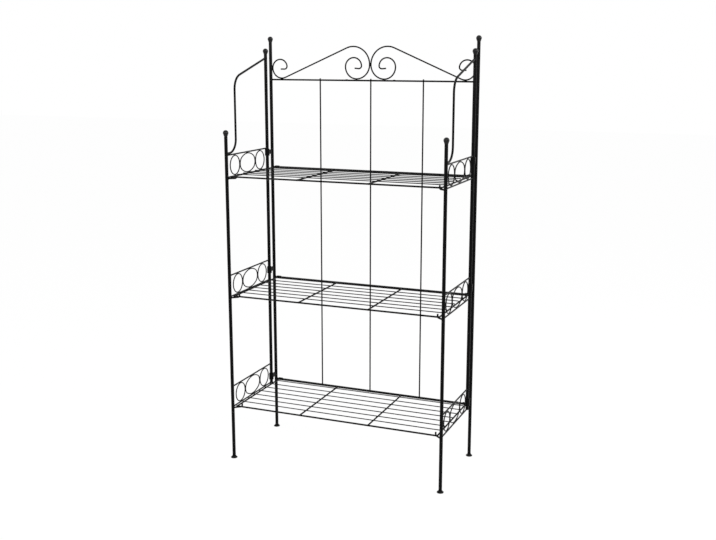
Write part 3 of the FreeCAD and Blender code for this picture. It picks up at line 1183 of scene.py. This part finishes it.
@dataclass(frozen=True)
class SideFrame(SubAssembly):
    """One side: two posts, ring guards at each shelf, the brace and the shelf hooks.

    Of the paired sizes, the brace's are for its upper and its lower end, rear_beads are for
    a guard's bottom and top rail, and hook_reach is across and to the back.
    """

    side: Side
    side_ball_z: float = 1271.5
    front_ball_z: float = 1032.0
    post_overrun: float = 3.0
    post_edge: float = 0.5
    rail_bite: float = 0.5
    brace_start_z: float = 1250.5
    brace_slope: float = 0.285
    brace_drop_y: float = 60.5
    brace_bends: tuple[float, float] = (45.0, 40.0)
    oval_end_bend: float = 22.0
    span_share: float = 7.22
    hook_reach: tuple[float, float] = (23.0, 19.0)
    hook_rise: float = 5.0
    hook_bend: float = 5.0
    hook_edge: float = 0.6
    rest_gap: float = 0.4
    front_bead: float = 0.9
    rear_beads: tuple[float, float] = (0.6, 0.25)
    brace_beads: tuple[float, float] = (1.3, 1.0)
    rail_spot: HalfSizes = (3.4, 1.5, 1.0)
    ring_spot: HalfSizes = (3.4, 1.2, 1.2)

    @property
    def body(self) -> str:
        """The body that this side's pieces ride on."""
        return f"{self.side.label}_side_frame"

    @property
    def x(self) -> float:
        """The upright plane that the side stands in."""
        return self.side.value * STOCK.half_width

    @property
    def brace_end_z(self) -> float:
        """Height of the brace's lower end, on top of the upper guard's rail."""
        return STOCK.guard_high(Level.UPPER) + STOCK.guard_rail + STOCK.brace

    def _posts(self) -> list[Piece]:
        """Makes the front and rear posts with their balls and the front foot.

        Returns:
            The five pieces.
        """
        tag, x = self.side.label, self.x
        spans = (("front", STOCK.front_y, FITTINGS.foot_floor, self.front_ball_z),
                 ("rear", STOCK.rear_y, STOCK.guard_low(Level.LOWER) - self.post_overrun,
                  self.side_ball_z))
        made = []
        for end, y, low, ball in spans:
            post = Piece(f"post_tube_{tag}_{end}", self.body, SATIN_BLACK, f"{tag}_{end}_post")
            made.append(post.bar(upright(x, y, low, ball - FITTINGS.neck_drop), STOCK.post,
                                 GRAIN.post_sides, self.post_edge))
            made.append(FITTINGS.finial(f"finial_ball_{tag}_{end}", f"{tag}_{end}_finial",
                                        self.body, x, y, ball))
        made.append(FITTINGS.foot(f"foot_cap_{tag}_front", f"{tag}_front_foot", self.body,
                                  x, STOCK.front_y))
        return made

    def _brace(self) -> Piece:
        """Bends the rod that runs from the rear post's head down to the front post.

        Returns:
            The piece.
        """
        lean = math.degrees(math.atan(self.brace_slope))
        upper, lower = self.brace_bends
        drop_y = STOCK.front_y + self.brace_drop_y
        corner = self.brace_start_z - self.brace_slope * (STOCK.rear_y - drop_y)
        trim = upper * math.tan(math.radians((90.0 - lean) / 2))
        slope = (STOCK.rear_y - drop_y) / math.cos(math.radians(lean)) - trim
        path = BarPath(Vector((self.x, STOCK.rear_y, self.brace_start_z)), Y_AXIS, Z_AXIS,
                       180.0 + lean,
                       (slope, (upper, 90.0 - lean), corner - trim - (self.brace_end_z + lower),
                        (lower, -90.0),
                        drop_y - lower - STOCK.front_y - STOCK.post * self.rail_bite))
        piece = Piece(f"bent_brace_{self.side.label}", self.body, SATIN_BLACK,
                      f"{self.side.label}_brace")
        return piece.bar(path, STOCK.brace, GRAIN.rail_sides)

    def _ring_plan(self, level: Level) -> RingPlan:
        """Lays out the rings of one guard.

        Args:
            level: The guard's shelf.

        Returns:
            Their places and sizes.
        """
        outer = STOCK.guard_height / 2 - STOCK.guard_rail
        half_span = self.span_share * outer / 2
        return RingPlan(y=(STOCK.front_y + STOCK.rear_y) / 2,
                        z=STOCK.guard_low(level) + STOCK.guard_height / 2, outer=outer,
                        ring_offset=half_span - outer, oval_half=half_span - 2 * outer)

    def _oval_path(self, plan: RingPlan) -> BarPath:
        """Works out the oval: two flat flanks joined by two tight ends.

        Args:
            plan: Layout of the guard's rings.

        Returns:
            Line of the bar's centre, from the middle of the lower flank.
        """
        short, tight = plan.outer - STOCK.guard_ring, self.oval_end_bend
        k = plan.oval_half - STOCK.guard_ring - tight
        flank = (k * k + short ** 2 - tight * tight) / (2 * (short - tight))
        opening = 2 * math.degrees(math.atan2(k, flank - short))
        end = (tight, 180.0 - opening)
        return BarPath(Vector((self.x, plan.y, plan.z - short)), Y_AXIS, Z_AXIS, 0.0, (
            (flank, opening / 2), end, (flank, opening), end, (flank, opening / 2)))

    def _guard(self, level: Level) -> list[Piece]:
        """Makes one guard.

        Args:
            level: The guard's shelf.

        Returns:
            Its rails and its rings, as two pieces.
        """
        inset, tag = STOCK.post * self.rail_bite, self.side.label
        rails = Piece(f"guard_bars_{tag}_{level.label}", self.body, SATIN_BLACK,
                      f"{tag}_guard_rails_{level.label}")
        for z in (STOCK.guard_low(level), STOCK.guard_high(level)):
            rails.bar(front_to_back(self.x, STOCK.front_y + inset, STOCK.rear_y - inset, z),
                      STOCK.guard_rail, GRAIN.rod_sides)
        rings = Piece(f"ring_trio_{tag}_{level.label}", self.body, SATIN_BLACK,
                      f"{tag}_guard_rings_{level.label}")
        plan, r = self._ring_plan(level), STOCK.guard_ring
        for end in ENDS:
            rings.hoop(Vector((self.x, plan.y + end * plan.ring_offset, plan.z)),
                       plan.outer - r, r, GRAIN.ring_sides)
        rings.bar(self._oval_path(plan), r, GRAIN.ring_sides, closed=True)
        return [rails, rings]

    def _hook_path(self, level: Level) -> BarPath:
        """Works out one hook.

        Args:
            level: The shelf that it carries.

        Returns:
            Line of the hook, from inside the front post to its upturned tip.
        """
        reach_x, reach_y = self.hook_reach
        reach, start = math.hypot(reach_x, reach_y), STOCK.post * self.rail_bite
        arm_z = level.value - STOCK.shelf_rail - STOCK.hook - self.rest_gap
        inward = Vector((-self.side.value * reach_x / reach, reach_y / reach, 0))
        rise = level.value + self.hook_rise - arm_z - self.hook_bend
        return BarPath(Vector((self.x, STOCK.front_y, arm_z)) + inward * start, inward, Z_AXIS,
                       0.0, (reach - self.hook_bend - start, (self.hook_bend, 90.0), rise))

    def _hooks(self) -> Piece:
        """Bends the three rods that carry the front corners of the shelves.

        Returns:
            All of them as one piece.
        """
        hooks = Piece(f"corner_hooks_{self.side.label}", self.body, SATIN_BLACK,
                      f"{self.side.label}_shelf_hooks")
        for level in Level:
            hooks.bar(self._hook_path(level), STOCK.hook, GRAIN.rod_sides, self.hook_edge)
        return hooks

    def _weld_guard(self, weld: Piece, level: Level) -> None:
        """Lays the beads and spot welds of one guard and its hook.

        Args:
            weld: The piece that they go in.
            level: The guard's shelf.
        """
        x, plan, hook = self.x, self._ring_plan(level), self._hook_path(level)
        for rail_z, rear_bead in zip((STOCK.guard_low(level), STOCK.guard_high(level)),
                                     self.rear_beads):
            weld.bead(Vector((x, STOCK.front_y, rail_z)), Y_AXIS, Z_AXIS,
                      STOCK.guard_rail, STOCK.post, self.front_bead)
            weld.bead(Vector((x, STOCK.rear_y, rail_z)), -Y_AXIS, Z_AXIS,
                      STOCK.guard_rail, STOCK.post, rear_bead)
        for y in (plan.y - plan.ring_offset, plan.y, plan.y + plan.ring_offset):
            for end in ENDS:
                weld.blob(Vector((x, y, plan.z + end * plan.outer)), Y_AXIS, self.rail_spot)
        for end in ENDS:
            weld.blob(Vector((x, plan.y + end * plan.oval_half, plan.z)), Z_AXIS, self.ring_spot)
        weld.bead(Vector((x, STOCK.front_y, hook.origin.z)), hook.u_axis, Z_AXIS,
                  STOCK.hook, STOCK.post, self.front_bead)

    def _welds(self) -> Piece:
        """Lays the beads and spot welds of this side.

        Returns:
            All of them as one piece.
        """
        weld = Piece(f"weld_beads_{self.side.label}_side", self.body, WELD_BLACK)
        for level in Level:
            self._weld_guard(weld, level)
        upper_bead, lower_bead = self.brace_beads
        weld.bead(Vector((self.x, STOCK.front_y, self.brace_end_z)), Y_AXIS, Z_AXIS,
                  STOCK.brace, STOCK.post, lower_bead)
        lean = math.atan(self.brace_slope)
        weld.bead(Vector((self.x, STOCK.rear_y, self.brace_start_z)),
                  Vector((0, -math.cos(lean), -math.sin(lean))),
                  Vector((0, -math.sin(lean), math.cos(lean))),
                  STOCK.brace, STOCK.post, upper_bead)
        return weld

    def pieces(self) -> list[Piece]:
        """Makes every piece of this side.

        Returns:
            The pieces.
        """
        made = self._posts() + [self._brace(), self._hooks(), self._welds()]
        for level in Level:
            made += self._guard(level)
        return made


# ---- shelves ------------------------------------------------------------------------------
@dataclass(frozen=True)
class WireShelf(SubAssembly):
    """One shelf: a rail frame, two cross bars, seven wires and the sleeves it turns on."""

    level: Level
    half_inner: float = 331.5
    front_rail_y: float = -146.0
    rear_rail_y: float = 144.1
    rail_edge: float = 0.5
    cross_bar_x: float = 113.0
    wire_count: int = 7
    wire_pitch: float = 38.0
    first_wire: float = 31.5
    wire_edge: float = 0.4
    pivot_bore: float = 3.08
    pivot_outer: float = 4.68
    pivot_edge: float = 0.35
    sleeve_run: float = 14.0
    wire_spot: HalfSizes = (2.3, 1.9, 0.9)
    corner_bead: float = 0.6
    pivot_spot: HalfSizes = (2.4, 1.1, 0.9)
    pivot_spot_inset: float = 1.2
    pivot_spot_forward: float = 0.2
    pivot_spot_rise: float = 0.1

    @property
    def body(self) -> str:
        """The body that this shelf's pieces ride on."""
        return f"{self.level.label}_shelf"

    @property
    def z(self) -> float:
        """The height that the rails lie at."""
        return self.level.value

    @property
    def rim(self) -> float:
        """Half width of the shelf over its side rails."""
        return self.half_inner + STOCK.shelf_rail

    @property
    def bar_places(self) -> tuple[float, float, float, float]:
        """Places of the side bars and the cross bars, from the left."""
        return -self.half_inner, -self.cross_bar_x, self.cross_bar_x, self.half_inner

    @property
    def wire_places(self) -> list[float]:
        """Places of the wires, from the back."""
        return [STOCK.back_y - self.first_wire - k * self.wire_pitch
                for k in range(self.wire_count)]

    def _depth_bars(self, piece: Piece, places: Sequence[float]) -> Piece:
        """Adds bars from the front rail to the rear rail.

        Args:
            piece: The piece that they go in.
            places: Where they lie along X.

        Returns:
            The same piece.
        """
        for x in places:
            piece.bar(front_to_back(x, self.front_rail_y, self.rear_rail_y, self.z),
                      STOCK.shelf_bar, GRAIN.rod_sides)
        return piece

    def _frame(self) -> Piece:
        """Makes the front and rear rails with the two side bars.

        Returns:
            The piece.
        """
        tag = self.level.label
        rails = Piece(f"shelf_rim_{tag}", self.body, SATIN_BLACK, f"shelf_rails_{tag}")
        for y in (self.front_rail_y, self.rear_rail_y):
            rails.bar(crosswise(self.rim, y, self.z), STOCK.shelf_rail, GRAIN.rod_sides,
                      self.rail_edge)
        return self._depth_bars(rails, (-self.half_inner, self.half_inner))

    def _wires(self) -> Piece:
        """Makes the wires that lie on the bars.

        Returns:
            The piece.
        """
        tag = self.level.label
        wires = Piece(f"wire_deck_{tag}", self.body, SATIN_BLACK, f"shelf_wires_{tag}")
        for y in self.wire_places:
            wires.bar(crosswise(self.half_inner, y, self.z + STOCK.shelf_bar + STOCK.wire),
                      STOCK.wire, GRAIN.wire_sides, self.wire_edge)
        return wires

    def _pivots(self) -> Piece:
        """Makes the two sleeves that turn on the cross rail.

        Returns:
            The piece.
        """
        tag = self.level.label
        pivots = Piece(f"pivot_sleeves_{tag}", self.body, SATIN_BLACK, f"shelf_pivots_{tag}")
        for side in Side:
            low, high = sorted(side.value * end for end in (self.rim - self.sleeve_run, self.rim))
            pivots.sleeve(Vector((low, STOCK.back_y, self.z)),
                          Vector((high, STOCK.back_y, self.z)),
                          self.pivot_bore, self.pivot_outer, GRAIN.pivot_sides,
                          self.pivot_edge)
        return pivots

    def _pivot_crotch(self) -> Vector:
        """Finds the groove on top between a pivot sleeve and the rear rail.

        Returns:
            The place for weld metal in it, in the middle of the rack.
        """
        span = STOCK.back_y - self.rear_rail_y
        reach = (self.pivot_outer ** 2 - STOCK.shelf_rail ** 2 + span ** 2) / (2 * span)
        rise = math.sqrt(self.pivot_outer ** 2 - reach ** 2)
        return Vector((0, STOCK.back_y - reach - self.pivot_spot_forward,
                       self.z + rise + self.pivot_spot_rise))

    def _welds(self) -> Piece:
        """Lays the spot welds under the wires and the beads at the bars' ends.

        Returns:
            All of them as one piece.
        """
        weld = Piece(f"weld_spots_{self.level.label}_shelf", self.body, WELD_BLACK)
        for y in self.wire_places:
            for x in self.bar_places:
                weld.blob(Vector((x, y, self.z + STOCK.shelf_bar)), Y_AXIS, self.wire_spot)
        for x in self.bar_places:
            for rail_y, inward in ((self.rear_rail_y, -Y_AXIS), (self.front_rail_y, Y_AXIS)):
                weld.bead(Vector((x, rail_y, self.z)), inward, X_AXIS, STOCK.shelf_bar,
                          STOCK.shelf_rail, self.corner_bead)
        crotch, inset = self._pivot_crotch(), self.pivot_spot_inset
        for side in Side:
            for end in (self.rim - self.sleeve_run + inset, self.rim - inset):
                weld.blob(crotch + X_AXIS * side.value * end, X_AXIS, self.pivot_spot)
        return weld

    def pieces(self) -> list[Piece]:
        """Makes every piece of this shelf.

        Returns:
            The pieces.
        """
        tag = self.level.label
        cross = Piece(f"shelf_ribs_{tag}", self.body, SATIN_BLACK, f"shelf_cross_bars_{tag}")
        self._depth_bars(cross, (-self.cross_bar_x, self.cross_bar_x))
        return [self._frame(), cross, self._wires(), self._pivots(), self._welds()]


# ---- studio -------------------------------------------------------------------------------
@dataclass(frozen=True)
class Softbox:
    """A soft lamp that faces the middle of the rack, in metres and watts."""

    name: str
    place: tuple[float, float, float]
    size: tuple[float, float]
    watts: float
    target: tuple[float, float, float] = (0.0, 0.0, 0.7)

    def build(self) -> None:
        """Adds the lamp to the scene."""
        lamp = bpy.data.lights.new(self.name, "AREA")
        lamp.shape = "RECTANGLE"
        lamp.size, lamp.size_y = self.size
        lamp.energy = self.watts
        obj = bpy.data.objects.new(self.name, lamp)
        obj.location = self.place
        aim = Vector(self.target) - Vector(self.place)
        obj.rotation_euler = aim.to_track_quat("-Z", "Y").to_euler()
        bpy.context.scene.collection.objects.link(obj)


@dataclass(frozen=True)
class Studio:
    """Pale floor, white surround, soft lamps and the camera, in metres and degrees."""

    camera_place: tuple[float, float, float] = (1.1773, -2.7946, 1.2670)
    camera_yaw: float = 22.474
    camera_pitch: float = 11.795
    camera_lens: float = 50.614
    camera_shift: float = -0.01
    camera_far: float = 60.0
    floor_half: float = 14.0
    floor_drop: float = 0.0002
    floor_colour: float = 0.9
    floor_roughness: float = 0.9
    floor_specular: float = 0.1
    floor_glow: float = 0.9
    floor_white: float = 1.055
    sky: float = 0.42
    lamps: tuple[Softbox, ...] = (
        Softbox("key_softbox", (2.05, 0.0, 2.25), (0.5, 0.7), 27.0),
        Softbox("front_softbox", (1.2, -3.2, 2.6), (1.2, 0.9), 22.0),
        Softbox("fill_softbox", (-2.6, -2.4, 2.0), (1.4, 1.4), 16.0))

    @staticmethod
    def _only_seen(tree: bpy.types.NodeTree) -> bpy.types.NodeSocket:
        """Tells what is seen from what lights the rack.

        Args:
            tree: The tree that the nodes go in.

        Returns:
            1 for what the lens, gloss and clear matter see, 0 for the light on things.
        """
        rays = tree.nodes.new("ShaderNodeLightPath")
        seen = rays.outputs["Is Camera Ray"]
        for other in ("Is Glossy Ray", "Is Transmission Ray"):
            most = tree.nodes.new("ShaderNodeMath")
            most.operation = "MAXIMUM"
            tree.links.new(seen, most.inputs[0])
            tree.links.new(rays.outputs[other], most.inputs[1])
            seen = most.outputs["Value"]
        return seen

    def _surround(self) -> None:
        """Sets a white surround with a plain level of light."""
        world = bpy.data.worlds.new("white_surround")
        bpy.context.scene.world = world
        world.use_nodes = True
        tree = world.node_tree
        back = tree.nodes["Background"]
        back.inputs["Color"].default_value = (1.0, 1.0, 1.0, 1.0)
        level = tree.nodes.new("ShaderNodeMapRange")
        level.inputs["To Min"].default_value = self.sky
        level.inputs["To Max"].default_value = 1.0
        tree.links.new(self._only_seen(tree), level.inputs["Value"])
        tree.links.new(level.outputs["Result"], back.inputs["Strength"])

    def _floor_material(self) -> bpy.types.Material:
        """Builds the floor's material, which looks white and still takes a shadow.

        Returns:
            The material.
        """
        material = bpy.data.materials.new("pale_floor")
        material.use_nodes = True
        tree = material.node_tree
        shader = tree.nodes["Principled BSDF"]
        shader.inputs["Base Color"].default_value = (*(self.floor_colour,) * 3, 1.0)
        shader.inputs["Roughness"].default_value = self.floor_roughness
        shader.inputs["Specular IOR Level"].default_value = self.floor_specular
        glow = tree.nodes.new("ShaderNodeEmission")
        glow.inputs["Strength"].default_value = self.floor_white
        share = tree.nodes.new("ShaderNodeMath")
        share.operation = "MULTIPLY"
        share.inputs[1].default_value = self.floor_glow
        tree.links.new(self._only_seen(tree), share.inputs[0])
        mix = tree.nodes.new("ShaderNodeMixShader")
        tree.links.new(share.outputs["Value"], mix.inputs["Fac"])
        tree.links.new(shader.outputs["BSDF"], mix.inputs[1])
        tree.links.new(glow.outputs["Emission"], mix.inputs[2])
        tree.links.new(mix.outputs["Shader"], tree.nodes["Material Output"].inputs["Surface"])
        return material

    def _floor(self) -> None:
        """Lays the pale floor."""
        bm = bmesh.new()
        bmesh.ops.create_grid(bm, x_segments=1, y_segments=1, size=self.floor_half)
        mesh = bpy.data.meshes.new("studio_floor")
        bm.to_mesh(mesh)
        bm.free()
        mesh.materials.append(self._floor_material())
        floor = bpy.data.objects.new("studio_floor", mesh)
        floor.location.z = -self.floor_drop
        bpy.context.scene.collection.objects.link(floor)

    def _camera(self) -> None:
        """Sets the camera, a little above the rack's middle and to its right."""
        data = bpy.data.cameras.new("camera")
        data.lens = self.camera_lens
        data.shift_y = self.camera_shift
        data.clip_end = self.camera_far
        camera = bpy.data.objects.new("camera", data)
        camera.location = self.camera_place
        camera.rotation_euler = (math.radians(90.0 - self.camera_pitch), 0.0,
                                 math.radians(self.camera_yaw))
        bpy.context.scene.collection.objects.link(camera)
        bpy.context.scene.camera = camera

    def build(self) -> None:
        """Builds the whole studio."""
        self._surround()
        self._floor()
        for lamp in self.lamps:
            lamp.build()
        self._camera()
        bpy.context.scene.view_settings.view_transform = "Standard"
        LOG.info("studio: floor, %d lamps and camera", len(self.lamps))


def main() -> None:
    """Builds the studio and then the rack, one sub-assembly after another."""
    logging.basicConfig(level=logging.INFO, format="%(name)s: %(message)s")
    Studio().build()
    materials = {finish.name: finish.build() for finish in FINISHES}
    parts: list[SubAssembly] = [BackPanel(), *(SideFrame(side) for side in Side),
                                *(WireShelf(level) for level in Level)]
    total = sum(part.build(materials) for part in parts)
    LOG.info("rack: %d pieces", total)


if __name__ == "__main__":
    main()
